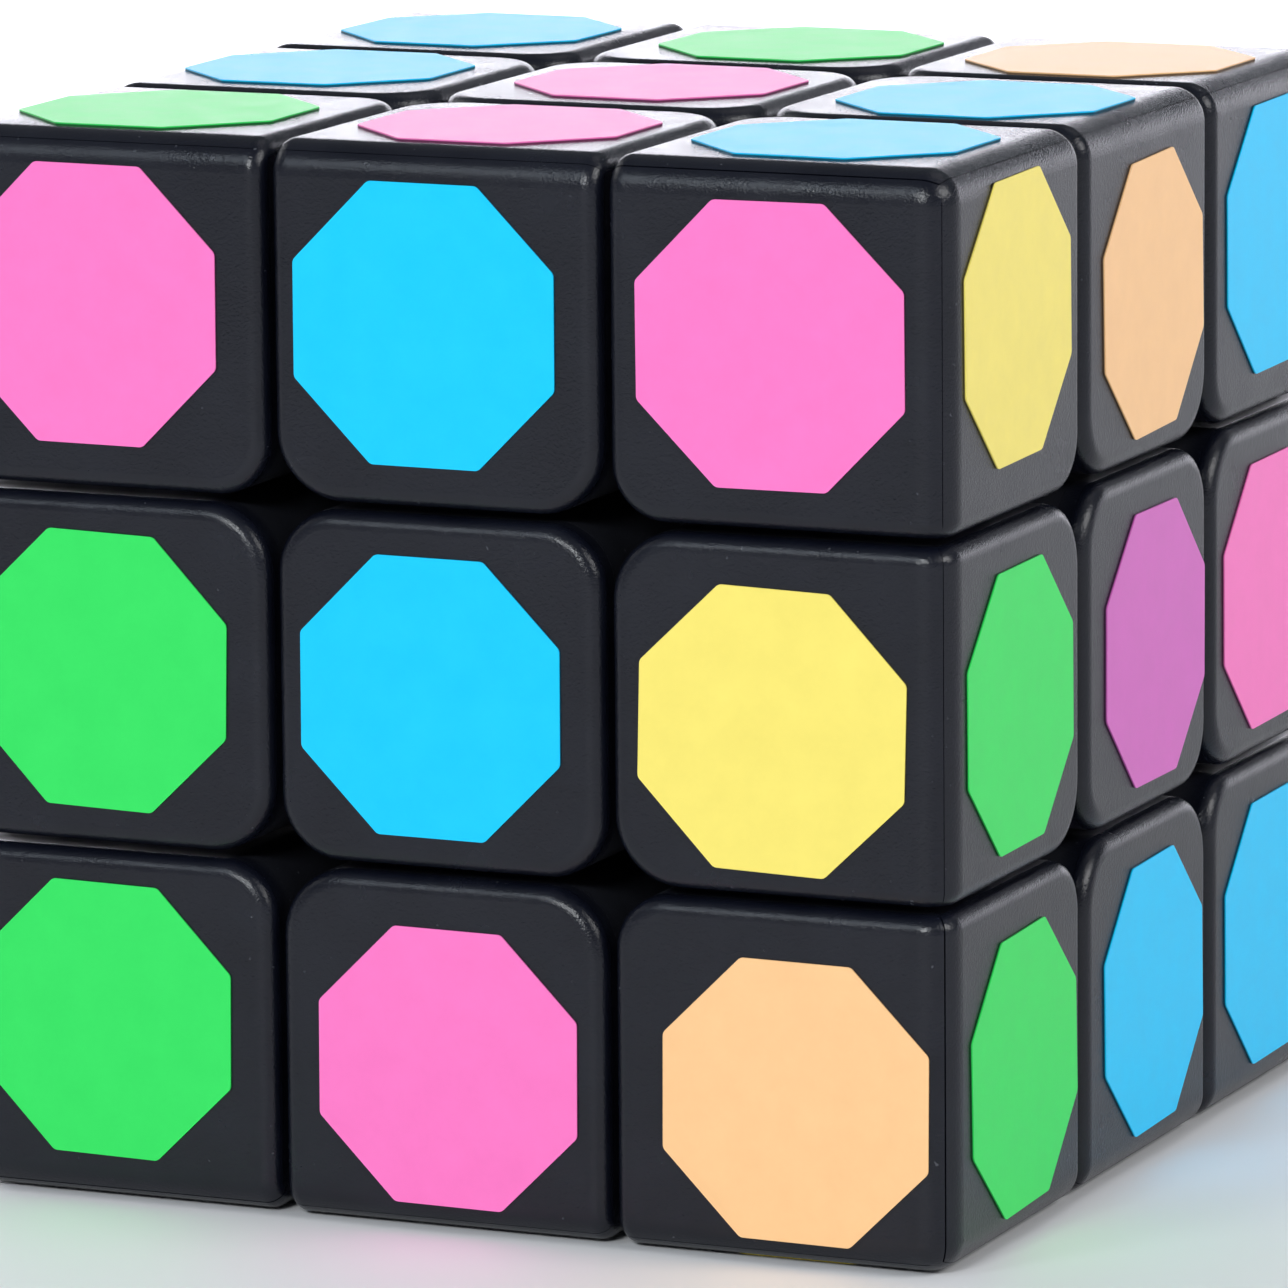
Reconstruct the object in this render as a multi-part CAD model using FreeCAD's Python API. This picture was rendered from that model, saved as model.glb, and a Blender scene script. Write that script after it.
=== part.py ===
import FreeCAD, Part
import os
import math

# Twisty puzzle cube, 3 x 3 x 3, 57 mm over the plastic.
# Frame: origin at the centre of the core, +Z through the upper face,
# -Y through the front face, +X through the right face. Millimetres.
#
# The pieces turn on concentric spheres. Outside radius R_OUT the cubelets are
# cut at +-CUT; between R_MID and R_OUT lie the corner feet, the edge stalks and
# the centre blocks, cut at +-CUT_MID; between R_IN and R_MID lie the edge feet
# and the centre stalks, cut at +-CUT_IN. Inside R_IN is the six armed core.

V = FreeCAD.Vector
os.makedirs("parts", exist_ok=True)

# ---- driving dimensions (mm) ------------------------------------------------
HALF = 28.5            # half of the cube's edge length
CUT = 9.5              # outer cut planes between the layers
GAP = 0.22             # half of the gap between neighbouring cubelets
R_OUT = 20.5           # outer sliding sphere
R_MID = 17.0           # middle sliding sphere
R_IN = 13.0            # inner sliding sphere
SHELL_C = 0.15         # half of the clearance at each sphere
CUT_MID = 6.5          # cut planes of the middle shell
CUT_IN = 3.5           # cut planes of the inner shell
CUT_C = 0.25           # half of the clearance at the inner cut planes
F_OUT = 1.8            # rounding along the cube's own edges
F_GAP = 0.9            # rounding of each facelet towards its neighbours
R_CORNER = 3.0         # facelet corner radius where four cubelets meet: corner piece
R_EDGE = 3.7           # the same on an edge piece
R_CENTRE = 3.4         # the same on a centre piece
CAP_T = 1.9            # thickness of a facelet cap
SEAM_A = 0.12          # open seam of a corner cap along one outer edge, square to the face
SEAM_B = 0.06          # the same along its other outer edge
CREASE_W = 0.05        # width of the moulded crease on the uncapped outer edge
CREASE_D = 0.06        # depth of that crease
WALL = 1.6             # wall of a cubelet under its cap
RIB = 0.9              # rib between two pockets
STICKER_W = 14.75      # octagonal sticker, across flats
STICKER_T = 0.12
STICKER_R = 0.45       # corner rounding of the sticker
CORE_R = 8.0
ARM_R = 3.0
ARM_END = 13.0
STALK_END = 13.2       # inner end of a centre stalk
WELL_R = 2.8           # spring well in a centre base
WELL_FLOOR = 17.2
SCREW_R = 1.2
SCREW_HEAD_R = 2.4
HEAD_Z = 21.7          # underside of the screw head
HEAD_T = 1.5
BORE_R = 1.27          # running bore of a centre base on its screw
PEG_R = 1.15
PEG_HOLE_R = 1.27
PEG_POS = 5.9
PEG_L = 2.7

LO = CUT + GAP
HI = CUT - GAP
CAP_Z = HALF - CAP_T
ORIGIN = V(0, 0, 0)


def box(x0, y0, z0, x1, y1, z1):
    return Part.makeBox(x1 - x0, y1 - y0, z1 - z0, V(x0, y0, z0))


def ball(r):
    return Part.makeSphere(r, ORIGIN)


def shell(r0, r1):
    return ball(r1).cut(ball(r0))


def cyl(r, z0, z1, x=0.0, y=0.0):
    return Part.makeCylinder(r, z1 - z0, V(x, y, z0), V(0, 0, 1))


def one(shape):
    s = shape.removeSplitter()
    sol = sorted(s.Solids, key=lambda k: -k.Volume)
    if len(sol) != 1:
        sol = [k for k in sol if k.Volume > 0.5]
    assert len(sol) == 1, "expected one solid, got %d" % len(sol)
    return sol[0]


def near(a, b, t=0.01):
    return abs(a - b) < t


def pick(shape, tests):
    """Edges whose centre of mass matches one of the (x, y, z) tests; None is free."""
    out = []
    for e in shape.Edges:
        c = e.CenterOfMass
        for t in tests:
            if all(w is None or near(v, w) for v, w in zip((c.x, c.y, c.z), t)):
                out.append(e)
                break
    return out


def sharp_edges(shape, keep=None):
    out = []
    for e in shape.Edges:
        if e.Length < 0.02:
            continue
        m = e.valueAt((e.FirstParameter + e.LastParameter) / 2.0)
        if keep is not None and not keep(m):
            continue
        fs = shape.ancestorsOfType(e, Part.Face)
        if len(fs) != 2:
            continue
        n = []
        for f in fs:
            u, v = f.Surface.parameter(m)
            n.append(f.normalAt(u, v))
        if n[0].getAngle(n[1]) > math.radians(15):
            out.append(e)
    return out


def hexa(z0, x00, x01, y00, y01, z1, x10, x11, y10, y11):
    """Frustum with rectangle (x00..x01, y00..y01) at z0 and (x10..x11, y10..y11) at z1."""
    b = [V(x00, y00, z0), V(x01, y00, z0), V(x01, y01, z0), V(x00, y01, z0)]
    t = [V(x10, y10, z1), V(x11, y10, z1), V(x11, y11, z1), V(x10, y11, z1)]
    loops = [b, t] + [[b[i], b[(i + 1) % 4], t[(i + 1) % 4], t[i]] for i in range(4)]
    faces = [Part.Face(Part.makePolygon(q + [q[0]])) for q in loops]
    return Part.makeSolid(Part.makeShell(faces))


def pockets(x0, x1, y0, y1, z0, z1, r_clear):
    """Three by three blind pockets with ribs between them, clear of a sphere."""
    wx = (x1 - x0 - 2 * RIB) / 3.0
    wy = (y1 - y0 - 2 * RIB) / 3.0
    cells = []
    for i in range(3):
        for j in range(3):
            ax = x0 + i * (wx + RIB)
            ay = y0 + j * (wy + RIB)
            cells.append(box(ax, ay, z0, ax + wx, ay + wy, z1))
    return Part.makeCompound(cells).cut(ball(r_clear))


# ---- corner piece, at +X -Y +Z, its cap on the +Z facelet --------------------
def make_corner():
    s = box(LO, -HALF, LO, HALF, -LO, HALF)
    mid = (LO + HALF) / 2.0
    s = s.makeFillet(R_CORNER, pick(s, [(LO, -LO, mid), (LO, -mid, LO), (mid, -LO, LO)]))
    s = s.makeFillet(F_OUT, pick(s, [(HALF, -HALF, None), (HALF, None, HALF), (None, -HALF, HALF)]))
    s = s.makeFillet(F_GAP, sharp_edges(s))
    # moulded crease along the outer edge between the two uncapped facelets
    depth = F_OUT * (math.sqrt(2.0) - 1.0) + CREASE_D
    plate = Part.makeBox(3.0 + depth, CREASE_W, 40.0, V(-3.0, -CREASE_W / 2.0, -10.0))
    plate.rotate(ORIGIN, V(0, 0, 1), 135)
    plate.translate(V(HALF, -HALF, 0))
    s = s.cut(plate)
    top = HALF + 1.0
    over = box(0, -40, CAP_Z, 40, 0, 40)
    wedge = hexa(CAP_Z, 0, CAP_Z, -CAP_Z, 0, top, 0, top, -top, 0)
    wedge_in = hexa(CAP_Z, 0, CAP_Z - SEAM_B, -(CAP_Z - SEAM_A), 0,
                    top, 0, top - SEAM_B, -(top - SEAM_A), 0)
    cap = s.common(wedge_in)
    body = s.cut(wedge)
    inner = HALF - WALL - 0.8
    body = body.cut(pockets(LO + WALL, inner, -inner, -(LO + WALL), LO + WALL, CAP_Z + 1, R_OUT + 1.4))
    foot = box(CUT_MID + CUT_C, -30, CUT_MID + CUT_C, 30, -(CUT_MID + CUT_C), 30)
    foot = foot.common(shell(R_MID + SHELL_C, R_OUT - SHELL_C))
    body = body.fuse(foot)
    # the cap's locating peg sits in the middle pocket
    w = (inner - LO - WALL - 2 * RIB) / 3.0
    c = (inner + LO + WALL) / 2.0
    h = w / 2.0 - 0.04
    cap = cap.fuse(box(c - h, -c - h, CAP_Z - 3.0, c + h, -c + h, CAP_Z + 0.5))
    return one(body), one(cap)


# ---- edge piece, at -Y +Z, its cap on the +Z facelet -------------------------
def make_edge():
    s = box(-HI, -HALF, LO, HI, -LO, HALF)
    mid = (LO + HALF) / 2.0
    inner_edges = []
    for sx in (-HI, HI):
        inner_edges += [(sx, -LO, mid), (sx, -mid, LO)]
    inner_edges.append((0.0, -LO, LO))
    s = s.makeFillet(R_EDGE, pick(s, inner_edges))
    s = s.makeFillet(F_OUT, pick(s, [(None, -HALF, HALF)]))
    s = s.makeFillet(F_GAP, sharp_edges(s))
    top = HALF + 1.0
    wedge = hexa(CAP_Z, -20, 20, -CAP_Z, 0, top, -20, 20, -top, 0)
    wedge_in = hexa(CAP_Z, -20, 20, -(CAP_Z - SEAM_B), 0,
                    top, -20, 20, -(top - SEAM_B), 0)
    cap = s.common(wedge_in)
    body = s.cut(wedge).cut(ball(R_OUT + SHELL_C))
    inner = HALF - WALL - 0.8
    body = body.cut(pockets(-HI + WALL, HI - WALL, -inner, -(LO + WALL), LO + WALL, CAP_Z + 1, R_OUT + 1.4))
    m0 = CUT_MID - CUT_C
    m1 = CUT_MID + CUT_C
    i0 = CUT_IN - CUT_C
    i1 = CUT_IN + CUT_C
    stalk = box(-m0, -30, m1, m0, -m1, 30).common(shell(R_MID + SHELL_C, R_OUT - SHELL_C))
    neck = box(-5.4, -30, LO, 5.4, -LO, 30).common(shell(R_OUT - 0.6, R_OUT + 0.6))
    foot = box(-i0, -30, i1, i0, -i1, 30).common(shell(R_IN + SHELL_C, R_MID - SHELL_C))
    neck2 = box(-i0, -30, m1, i0, -m1, 30).common(shell(R_MID - 0.6, R_MID + 0.6))
    body = body.fuse([stalk, neck, foot, neck2])
    w = (2 * (HI - WALL) - 2 * RIB) / 3.0
    wy = (inner - LO - WALL - 2 * RIB) / 3.0
    c = (inner + LO + WALL) / 2.0
    cap = cap.fuse(box(-w / 2 + 0.04, -c - wy / 2 + 0.04, CAP_Z - 3.0, w / 2 - 0.04, -c + wy / 2 - 0.04, CAP_Z + 0.5))
    return one(body), one(cap)


# ---- centre piece on +Z: base with the spring well, and its press-on cap -----
def make_centre():
    s = box(-HI, -HI, LO, HI, HI, HALF)
    s = s.makeFillet(R_CENTRE, pick(s, [(a, b, None) for a in (-HI, HI) for b in (-HI, HI)]))
    s = s.makeFillet(F_GAP, sharp_edges(s, keep=lambda m: m.z > HALF - 0.01))
    split = CAP_Z
    cap = s.common(box(-20, -20, split, 20, 20, 40))
    for sx in (-1, 1):
        for sy in (-1, 1):
            cap = cap.fuse(cyl(PEG_R, split - PEG_L, split + 0.5, sx * PEG_POS, sy * PEG_POS))
    base = s.cut(box(-20, -20, split - 0.03, 20, 20, 40)).cut(ball(R_OUT + SHELL_C))
    m0 = CUT_MID - CUT_C
    i0 = CUT_IN - CUT_C
    block = box(-m0, -m0, 5, m0, m0, 30).common(shell(R_MID + SHELL_C, R_OUT + 0.6))
    stalk = box(-i0, -i0, STALK_END, i0, i0, 30).common(ball(R_MID + 0.6))
    base = base.fuse([block, stalk])
    base = base.cut(cyl(BORE_R, 5, 40)).cut(cyl(WELL_R, WELL_FLOOR, 40))
    for sx in (-1, 1):
        for sy in (-1, 1):
            base = base.cut(cyl(PEG_HOLE_R, split - PEG_L - 0.4, 40, sx * PEG_POS, sy * PEG_POS))
    return one(base), one(cap)


def make_core():
    s = ball(CORE_R)
    arm = cyl(ARM_R, 0, ARM_END)
    arms = []
    for d in ((0, 0, 1), (0, 0, -1), (1, 0, 0), (-1, 0, 0), (0, 1, 0), (0, -1, 0)):
        arms.append(turned(arm, d))
    s = s.fuse(arms).removeSplitter()
    for d in ((0, 0, 1), (0, 0, -1), (1, 0, 0), (-1, 0, 0), (0, 1, 0), (0, -1, 0)):
        s = s.cut(turned(cyl(SCREW_R + 0.02, 4.0, 20.0), d))
    return one(s)


def make_screw():
    s = cyl(SCREW_R, 4.3, HEAD_Z + 0.2)
    head = cyl(SCREW_HEAD_R, HEAD_Z, HEAD_Z + HEAD_T)
    head = head.makeFillet(0.5, pick(head, [(0.0, 0.0, HEAD_Z + HEAD_T)]))
    s = s.fuse(head)
    for k in (0, 1):
        slot = box(-1.35, -0.3, HEAD_Z + HEAD_T - 0.8, 1.35, 0.3, 40)
        slot.rotate(ORIGIN, V(0, 0, 1), 45 + 90 * k)
        s = s.cut(slot)
    tip = Part.makeCone(0.5, SCREW_R, 0.8, V(0, 0, 4.3))
    s = s.cut(cyl(3.0, 4.0, 5.1)).fuse(tip)
    return one(s)


def make_washer():
    z = WELL_FLOOR + 0.05
    return one(cyl(2.5, z, z + 0.4).cut(cyl(1.4, z - 1, z + 2)))


def make_spring():
    wire, mean = 0.35, 2.0
    z0 = WELL_FLOOR + 0.05 + 0.4 + 0.03 + wire
    z1 = HEAD_Z - 0.03 - wire
    turns = 3.5
    helix = Part.makeHelix((z1 - z0) / turns, z1 - z0, mean)
    path = Part.Wire(helix.Edges)
    ring = Part.Wire(Part.makeCircle(wire, V(mean, 0, 0), V(0, 1, 0)).Edges)
    s = path.makePipeShell([ring], True, True)
    if s.ShapeType != "Solid":
        s = Part.makeSolid(s.Shells[0])
    if s.Volume < 0:
        s.reverse()
    s.translate(V(0, 0, z0))
    return s


# ---- placing ----------------------------------------------------------------
def rotation(cols):
    """Rotation whose columns are where +X, +Y, +Z go."""
    m = FreeCAD.Matrix()
    m.A11, m.A21, m.A31 = cols[0]
    m.A12, m.A22, m.A32 = cols[1]
    m.A13, m.A23, m.A33 = cols[2]
    return FreeCAD.Placement(m)


def cross(a, b):
    return (a[1] * b[2] - a[2] * b[1], a[2] * b[0] - a[0] * b[2], a[0] * b[1] - a[1] * b[0])


def neg(a):
    return (-a[0], -a[1], -a[2])


def placed(shape, plc):
    s = shape.copy()
    s.Placement = plc.multiply(s.Placement)
    return s


def turned(shape, d):
    """Carry +Z onto the axis d."""
    up = {(0, 0, 1): (1, 0, 0), (0, 0, -1): (1, 0, 0)}.get(d, (0, 0, 1))
    y = cross(d, up)
    return placed(shape, rotation((up, y, d)))


DIRS = {"U": (0, 0, 1), "D": (0, 0, -1), "R": (1, 0, 0), "L": (-1, 0, 0), "B": (0, 1, 0), "F": (0, -1, 0)}
WORDS = {"U": "upper", "D": "lower", "F": "front", "B": "back", "L": "left", "R": "right"}


def corner_placement(faces, cap):
    """The canonical corner has facelets +X, -Y, +Z with the cap on +Z."""
    others = [f for f in faces if f != cap]
    z = DIRS[cap]
    for a, b in (others, others[::-1]):
        x, y = DIRS[a], neg(DIRS[b])
        if cross(x, y) == z:
            return rotation((x, y, z))
    raise ValueError(faces)


def edge_placement(faces, cap):
    other = [f for f in faces if f != cap][0]
    z, y = DIRS[cap], neg(DIRS[other])
    return rotation((cross(y, z), y, z))


# facelet colours, each cubelet's faces in the order of its name
CORNERS = {
    "URF": ("cyan", "yellow", "pink"),
    "UFL": ("green", "pink", "yellow"),
    "ULB": ("cyan", "pink", "purple"),
    "UBR": ("orange", "yellow", "cyan"),
    "DFR": ("yellow", "orange", "green"),
    "DLF": ("purple", "pink", "green"),
    "DBL": ("orange", "purple", "green"),
    "DRB": ("orange", "cyan", "purple"),
}
EDGES = {
    "UR": ("cyan", "orange"),
    "UF": ("pink", "cyan"),
    "UL": ("cyan", "purple"),
    "UB": ("green", "orange"),
    "DR": ("yellow", "cyan"),
    "DF": ("purple", "pink"),
    "DL": ("orange", "purple"),
    "DB": ("green", "purple"),
    "FR": ("yellow", "green"),
    "FL": ("green", "pink"),
    "BL": ("yellow", "orange"),
    "BR": ("yellow", "pink"),
}
CENTRES = {"U": "pink", "D": "orange", "F": "cyan", "B": "green", "R": "purple", "L": "yellow"}
# which facelet of each cubelet is the separate cap
CORNER_CAP = {"URF": "U", "UFL": "L", "ULB": "U", "UBR": "R", "DFR": "R", "DLF": "D", "DBL": "B", "DRB": "B"}
EDGE_CAP = {"UR": "U", "UF": "U", "UL": "L", "UB": "B", "DR": "R", "DF": "F", "DL": "D", "DB": "D",
            "FR": "R", "FL": "L", "BL": "B", "BR": "R"}

# sticker placement error on its facelet: (right, up, turn in degrees), seen from
# outside with +Z up (upper face: +Y up, lower face: -Y up)
SLIP = {
    ("F", -1, 1): (-0.65, 0.35, -0.3), ("F", 0, 1): (-0.51, 0.19, -0.2), ("F", 1, 1): (-0.32, 0.13, 0.3),
    ("F", -1, 0): (-0.37, 0.05, -1.4), ("F", 0, 0): (-0.40, -0.17, -0.3), ("F", 1, 0): (-0.34, -0.59, -1.5),
    ("F", -1, -1): (-0.45, 0.39, -0.9), ("F", 0, -1): (0.35, -0.62, -0.4), ("F", 1, -1): (0.85, -0.78, -0.5),
    ("R", -1, 1): (0.10, 0.80, 1.2), ("R", 0, 1): (0.66, -0.62, 2.0), ("R", 1, 1): (0.20, 0.20, 0.9),
    ("R", -1, 0): (0.37, -0.29, 0.8), ("R", 0, 0): (0.98, -0.37, -0.1), ("R", 1, 0): (-0.20, -0.35, 0.8),
    ("R", -1, -1): (0.85, -0.40, 2.0), ("R", 0, -1): (0.75, -0.22, 1.5), ("R", 1, -1): (0.10, -0.15, 0.9),
    ("U", -1, -1): (-0.60, 0.30, 0.9), ("U", 0, -1): (0.00, 0.50, 0.3), ("U", 1, -1): (-0.30, 0.78, -0.8),
    ("U", -1, 0): (-0.50, 0.75, 0.7), ("U", 0, 0): (0.20, 0.70, -0.6), ("U", 1, 0): (0.35, -0.50, -0.5),
    ("U", -1, 1): (-0.10, 0.65, -1.1), ("U", 0, 1): (0.60, 0.20, -0.9), ("U", 1, 1): (0.20, -0.65, -0.6),
}
# right and up directions on each face, seen from outside
FRAMES = {
    "F": ((1, 0, 0), (0, 0, 1)), "B": ((-1, 0, 0), (0, 0, 1)),
    "R": ((0, 1, 0), (0, 0, 1)), "L": ((0, -1, 0), (0, 0, 1)),
    "U": ((1, 0, 0), (0, 1, 0)), "D": ((1, 0, 0), (0, -1, 0)),
}
FACELET = (LO + HALF) / 2.0    # centre of a corner or edge facelet from the axis


def make_sticker():
    pts = []
    r = STICKER_W / 2.0 / math.cos(math.radians(22.5))
    for k in range(9):
        a = math.radians(22.5 + 45 * k)
        pts.append(V(r * math.cos(a), r * math.sin(a), 0))
    s = Part.Face(Part.makePolygon(pts)).extrude(V(0, 0, STICKER_T))
    side = [e for e in s.Edges if near(e.CenterOfMass.z, STICKER_T / 2.0)]
    return s.makeFillet(STICKER_R, side)


def dot(a, b):
    return a[0] * b[0] + a[1] * b[1] + a[2] * b[2]


def slip_of(face, i, j):
    if (face, i, j) in SLIP:
        return SLIP[(face, i, j)]
    k = "FBRLUD".index(face) * 9 + (i + 1) * 3 + (j + 1)
    return (0.45 * math.sin(2.3 * k + 0.4), 0.40 * math.sin(3.7 * k + 1.1), 1.3 * math.sin(5.1 * k))


def sticker_on(face, at):
    """A sticker on one face of the cubelet whose grid position is at."""
    right, up = FRAMES[face]
    n = DIRS[face]
    i, j = dot(at, right), dot(at, up)
    dx, dy, turn = slip_of(face, i, j)
    s = STICKER.copy()
    s.rotate(ORIGIN, V(0, 0, 1), turn)
    s.translate(V(i * FACELET + dx, j * FACELET + dy, HALF))
    return placed(s, rotation((right, up, n)))


def save(name, shapes):
    s = shapes[0] if len(shapes) == 1 else Part.makeCompound(shapes)
    for k in s.Solids:
        assert k.isValid(), name
    s.exportStep("parts/%s.step" % name)
    print("%-34s solids %2d  volume %9.2f mm3" % (name, len(s.Solids), s.Volume))


def long_name(kind, key):
    return kind + "_" + "_".join(WORDS[c] for c in key)


corner_body, corner_cap = make_corner()
edge_body, edge_cap = make_edge()
centre_base, centre_cap = make_centre()
STICKER = make_sticker()

groups = {}


def add(name, shape):
    groups.setdefault(name, []).append(shape)


def level(at):
    return {1: "upper", 0: "middle", -1: "lower"}[at[2]]


for key, colours in CORNERS.items():
    plc = corner_placement(key, CORNER_CAP[key])
    at = tuple(sum(DIRS[c][k] for c in key) for k in range(3))
    add(long_name("corner", key), placed(corner_body, plc))
    add("corner_caps_" + level(at), placed(corner_cap, plc))
    for f, colour in zip(key, colours):
        add("stickers_%s_%s" % (level(at), colour), sticker_on(f, at))

for key, colours in EDGES.items():
    plc = edge_placement(key, EDGE_CAP[key])
    at = tuple(sum(DIRS[c][k] for c in key) for k in range(3))
    add(long_name("edge", key), placed(edge_body, plc))
    add("edge_caps_" + level(at), placed(edge_cap, plc))
    for f, colour in zip(key, colours):
        add("stickers_%s_%s" % (level(at), colour), sticker_on(f, at))

for key, colour in CENTRES.items():
    d = DIRS[key]
    add("centre_bases_" + level(d), turned(centre_base, d))
    add("centre_cap_" + WORDS[key], turned(centre_cap, d))
    add("sticker_centre_%s_%s" % (WORDS[key], colour), sticker_on(key, d))

screw, washer, spring = make_screw(), make_washer(), make_spring()
for d in DIRS.values():
    add("tension_screws", turned(screw, d))
    add("tension_washers", turned(washer, d))
    add("tension_springs", turned(spring, d))
add("core", make_core())

for name in sorted(groups):
    save(name, groups[name])
print(len(groups), "nodes")
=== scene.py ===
import bpy
import math
from mathutils import Matrix, Vector


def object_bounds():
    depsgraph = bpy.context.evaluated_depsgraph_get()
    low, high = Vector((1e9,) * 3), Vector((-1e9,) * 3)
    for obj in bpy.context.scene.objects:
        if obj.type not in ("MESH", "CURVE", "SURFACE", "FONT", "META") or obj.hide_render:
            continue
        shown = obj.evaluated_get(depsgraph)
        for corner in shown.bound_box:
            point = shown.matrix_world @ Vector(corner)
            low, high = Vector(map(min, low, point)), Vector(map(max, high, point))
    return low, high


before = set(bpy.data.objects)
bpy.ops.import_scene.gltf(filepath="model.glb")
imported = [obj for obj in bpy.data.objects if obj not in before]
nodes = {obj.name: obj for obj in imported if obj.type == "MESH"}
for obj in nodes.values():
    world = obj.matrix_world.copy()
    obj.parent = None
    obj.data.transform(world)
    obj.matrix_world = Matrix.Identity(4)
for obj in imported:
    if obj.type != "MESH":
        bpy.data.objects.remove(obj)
cad_bounds = [list(map(float, p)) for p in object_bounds()]
low, high = Vector(cad_bounds[0]), Vector(cad_bounds[1])
mid = (low + high) / 2
scene = bpy.context.scene
scene.view_settings.view_transform = "Standard"
scene.view_settings.look = "None"
scene.view_settings.exposure = 0.0
scene.view_settings.gamma = 1.0


# ---- node helpers -----------------------------------------------------------
def new_material(name):
    m = bpy.data.materials.new(name)
    m.use_nodes = True
    t = m.node_tree
    bsdf = [n for n in t.nodes if n.type == "BSDF_PRINCIPLED"][0]
    coords = t.nodes.new("ShaderNodeTexCoord")
    return m, t, bsdf, coords.outputs["Object"]


def noise(t, vec, scale, detail=2.0, rough=0.5, distortion=0.0):
    n = t.nodes.new("ShaderNodeTexNoise")
    n.inputs["Scale"].default_value = scale
    n.inputs["Detail"].default_value = detail
    n.inputs["Roughness"].default_value = rough
    n.inputs["Distortion"].default_value = distortion
    t.links.new(vec, n.inputs["Vector"])
    return n.outputs["Fac"]


def remap(t, val, a, b, c, d, clamp=True):
    n = t.nodes.new("ShaderNodeMapRange")
    n.clamp = clamp
    n.inputs["From Min"].default_value = a
    n.inputs["From Max"].default_value = b
    n.inputs["To Min"].default_value = c
    n.inputs["To Max"].default_value = d
    t.links.new(val, n.inputs["Value"])
    return n.outputs["Result"]


def maths(t, op, *values):
    n = t.nodes.new("ShaderNodeMath")
    n.operation = op
    for i, v in enumerate(values):
        t.links.new(v, n.inputs[i])
    return n.outputs[0]


def depth_out(t, vec):
    """Largest of |x|, |y| and |z|: how far out in the cube a point lies."""
    xyz = t.nodes.new("ShaderNodeSeparateXYZ")
    t.links.new(vec, xyz.inputs[0])
    x, y, z = [maths(t, "ABSOLUTE", o) for o in xyz.outputs]
    return maths(t, "MAXIMUM", maths(t, "MAXIMUM", x, y), z)


def mix_colour(t, fac, a, b):
    n = t.nodes.new("ShaderNodeMix")
    n.data_type = "RGBA"
    n.inputs["A"].default_value = (*a, 1)
    n.inputs["B"].default_value = (*b, 1)
    t.links.new(fac, n.inputs["Factor"])
    return n.outputs["Result"]


def mix_over(t, fac, under, b):
    n = t.nodes.new("ShaderNodeMix")
    n.data_type = "RGBA"
    n.inputs["B"].default_value = (*b, 1)
    t.links.new(under, n.inputs["A"])
    t.links.new(fac, n.inputs["Factor"])
    return n.outputs["Result"]


def bump(t, height, strength, distance, normal=None):
    n = t.nodes.new("ShaderNodeBump")
    n.inputs["Strength"].default_value = strength
    n.inputs["Distance"].default_value = distance
    t.links.new(height, n.inputs["Height"])
    if normal is not None:
        t.links.new(normal, n.inputs["Normal"])
    return n.outputs["Normal"]


# ---- materials --------------------------------------------------------------
def plastic(name, dark, light, rough_lo, rough_hi):
    """Moulded plastic: spark-eroded grain, a faint flow mottle and a few specks of dust."""
    m, t, bsdf, vec = new_material(name)
    mottle = noise(t, vec, 260, 4, 0.6)
    grain = noise(t, vec, 7600, 2, 0.6)
    coarse = noise(t, vec, 3400, 2, 0.5)
    waves = noise(t, vec, 190, 1, 0.5)
    specks = noise(t, vec, 2600, 1, 0.5)
    dust = remap(t, specks, 0.765, 0.81, 0.0, 0.5)
    col = mix_colour(t, remap(t, mottle, 0.35, 0.7, 0, 1), dark, light)
    t.links.new(mix_over(t, dust, col, (0.10, 0.105, 0.12)), bsdf.inputs["Base Color"])
    # the sliding faces between the layers are rubbed dull, the outer faces keep their satin
    rubbed = remap(t, depth_out(t, vec), 0.0276, 0.0262, 0.0, 0.5)
    gloss = remap(t, mottle, 0.3, 0.75, rough_lo, rough_hi)
    t.links.new(maths(t, "ADD", gloss, rubbed), bsdf.inputs["Roughness"])
    b0 = bump(t, waves, 0.15, 0.00012)
    b1 = bump(t, coarse, 0.14, 0.00004, b0)
    b2 = bump(t, grain, 0.70, 0.000038, b1)
    t.links.new(b2, bsdf.inputs["Normal"])
    bsdf.inputs["IOR"].default_value = 1.42
    return m


def film(name, colour):
    """Coloured vinyl film: slight mottle, soft sheen, fine orange peel."""
    m, t, bsdf, vec = new_material(name)
    mottle = noise(t, vec, 420, 5, 0.65)
    pale = [min(0.99, c * 1.02 + 0.004) for c in colour]
    deep = [c * 0.965 for c in colour]
    face = mix_colour(t, remap(t, mottle, 0.3, 0.7, 0, 1), deep, pale)
    # painted shade: the film's cut edge is coloured much darker than its face to stand in for the shadow
    # along the sticker's sides
    edge = remap(t, depth_out(t, vec), 0.028558, 0.028545, 0.0, 1.0)
    t.links.new(mix_over(t, edge, face, [c * 0.20 for c in colour]), bsdf.inputs["Base Color"])
    t.links.new(remap(t, mottle, 0.3, 0.7, 0.34, 0.39), bsdf.inputs["Roughness"])
    peel = noise(t, vec, 900, 3, 0.5)
    fine = noise(t, vec, 4200, 1, 0.5)
    b = bump(t, peel, 0.05, 0.00005)
    t.links.new(bump(t, fine, 0.10, 0.00002, b), bsdf.inputs["Normal"])
    bsdf.inputs["IOR"].default_value = 1.35
    return m


def zinc(name):
    m, t, bsdf, vec = new_material(name)
    mottle = noise(t, vec, 900, 4, 0.6)
    t.links.new(mix_colour(t, mottle, (0.46, 0.47, 0.49), (0.66, 0.66, 0.65)), bsdf.inputs["Base Color"])
    t.links.new(remap(t, mottle, 0.3, 0.7, 0.22, 0.42), bsdf.inputs["Roughness"])
    t.links.new(bump(t, noise(t, vec, 3000, 2), 0.15, 0.00002), bsdf.inputs["Normal"])
    bsdf.inputs["Metallic"].default_value = 1.0
    return m


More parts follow.
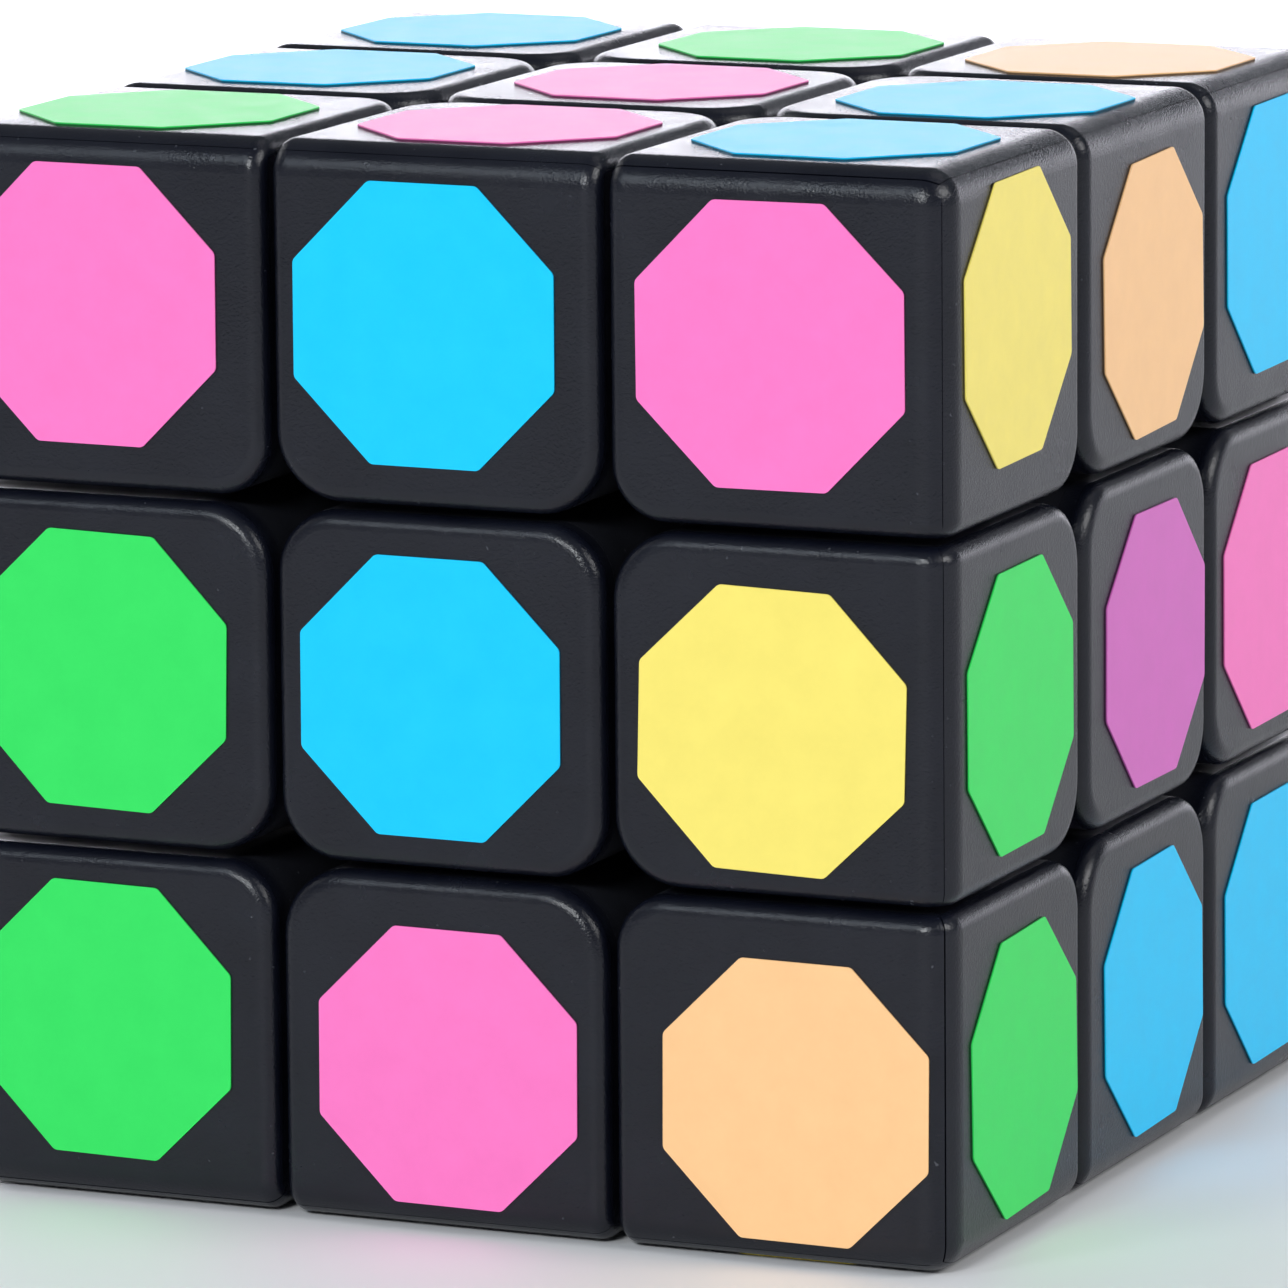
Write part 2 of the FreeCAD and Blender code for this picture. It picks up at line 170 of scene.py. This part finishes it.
FILM = {
    "pink": (0.98, 0.190, 0.540),
    "cyan": (0.0, 0.58, 0.98),
    "green": (0.03, 0.74, 0.115),
    "yellow": (0.93, 0.775, 0.160),
    "orange": (0.98, 0.58, 0.275),
    "purple": (0.66, 0.14, 0.52),
}
black = plastic("black_moulded_plastic", (0.0036, 0.0044, 0.0092), (0.0062, 0.0074, 0.0135), 0.21, 0.29)
inner = plastic("core_moulded_plastic", (0.010, 0.010, 0.012), (0.014, 0.014, 0.017), 0.38, 0.48)
steel = zinc("zinc_plated_steel")
films = {k: film("film_" + k, v) for k, v in FILM.items()}

for name, obj in nodes.items():
    if name.startswith("sticker"):
        m = films[name.split("_")[-1]]
        bev = obj.modifiers.new("edge", "BEVEL")
        bev.width = 0.00004
        bev.segments = 2
        bev.limit_method = "ANGLE"
        bev.angle_limit = math.radians(50)
        bev.harden_normals = True
    elif name.startswith("tension_"):
        m = steel
    elif name == "core":
        m = inner
    else:
        m = black
    obj.data.materials.clear()
    obj.data.materials.append(m)

# ---- stage ------------------------------------------------------------------
def make_stage():
    """A round seamless sweep: flat pale floor that curves up into a low wall all round."""
    z = low.z
    flat, r, rise = 1.30, 0.35, 0.37
    prof = [(0.0, z), (0.4, z), (0.9, z), (flat, z)]
    for k in range(1, 13):
        a = math.radians(90 * k / 12)
        prof.append((flat + r * math.sin(a), z + r - r * math.cos(a)))
    prof.append((flat + r, z + rise))
    seg = 96
    verts, faces = [(0.0, 0.0, z)], []
    for rad, zz in prof[1:]:
        for k in range(seg):
            t = 2 * math.pi * k / seg
            verts.append((rad * math.cos(t), rad * math.sin(t), zz))
    for k in range(seg):
        faces.append((0, 1 + k, 1 + (k + 1) % seg))
    for row in range(len(prof) - 2):
        p, q = 1 + row * seg, 1 + (row + 1) * seg
        for k in range(seg):
            faces.append((p + k, q + k, q + (k + 1) % seg, p + (k + 1) % seg))
    me = bpy.data.meshes.new("stage_sweep")
    me.from_pydata(verts, [], faces)
    for poly in me.polygons:
        poly.use_smooth = True
    o = bpy.data.objects.new("stage_sweep", me)
    scene.collection.objects.link(o)
    m, t, bsdf, vec = new_material("pale_floor")
    n1 = noise(t, vec, 6, 3)
    t.links.new(mix_colour(t, n1, (0.80, 0.80, 0.815), (0.84, 0.84, 0.85)), bsdf.inputs["Base Color"])
    bsdf.inputs["Roughness"].default_value = 0.6
    me.materials.append(m)
    return o


make_stage()

world = bpy.data.worlds.new("studio")
scene.world = world
world.use_nodes = True
bg = world.node_tree.nodes["Background"]
bg.inputs["Color"].default_value = (0.86, 0.93, 1.0, 1)
bg.inputs["Strength"].default_value = 0.20


def area(name, azimuth, elevation, distance, size_x, size_y, power, colour=(1, 1, 1), aim=(0, 0, 0)):
    """A soft box seen from the cube at that azimuth (0 in front, 90 to the right) and elevation."""
    a, e = math.radians(azimuth), math.radians(elevation)
    at = Vector((math.sin(a) * math.cos(e), -math.cos(a) * math.cos(e), math.sin(e))) * distance
    d = bpy.data.lights.new(name, "AREA")
    d.shape = "RECTANGLE"
    d.size, d.size_y = size_x, size_y
    d.energy = power
    d.color = colour
    o = bpy.data.objects.new(name, d)
    scene.collection.objects.link(o)
    o.location = at
    o.rotation_euler = (Vector(aim) - at).to_track_quat("-Z", "Y").to_euler()
    return o


area("key_front", 3, 27, 1.05, 0.32, 0.14, 5.75, (0.94, 0.975, 1.0))
area("rim_front_high", -26, 36, 0.95, 0.20, 0.16, 1.1, (0.80, 0.90, 1.0))
area("right_box", 84, 33, 1.15, 0.60, 0.45, 6.3)
area("left_fill", -100, 30, 1.20, 0.80, 0.60, 2.2)
area("back_left_wash", -152, 40, 1.30, 1.2, 0.35, 54.0, (0.94, 0.925, 1.0), (-0.66, 1.46, 0.14))
area("back_right_top", 150, 62, 0.95, 0.5, 0.5, 0.4, (1.0, 0.96, 1.0))

# ---- camera -----------------------------------------------------------------
AZ, EL, ROLL = math.radians(23.7042), math.radians(10.3286), math.radians(-0.5115)
POS = Vector((0.2030808, -0.464381, 0.0902316))
F_PX = 9458.79
fwd = Vector((-math.sin(AZ) * math.cos(EL), math.cos(AZ) * math.cos(EL), -math.sin(EL)))
right = fwd.cross(Vector((0, 0, 1))).normalized()
up = right.cross(fwd)
r2 = math.cos(ROLL) * right + math.sin(ROLL) * up
u2 = -math.sin(ROLL) * right + math.cos(ROLL) * up
cam_data = bpy.data.cameras.new("camera")
cam_data.sensor_width = 36.0
cam_data.lens = 36.0 * F_PX / 1288.0
cam_data.clip_start = 0.01
cam_data.clip_end = 20.0
cam = bpy.data.objects.new("camera", cam_data)
scene.collection.objects.link(cam)
rot = Matrix((r2, u2, -fwd)).transposed().to_4x4()
cam.matrix_world = Matrix.Translation(POS) @ rot
scene.camera = cam
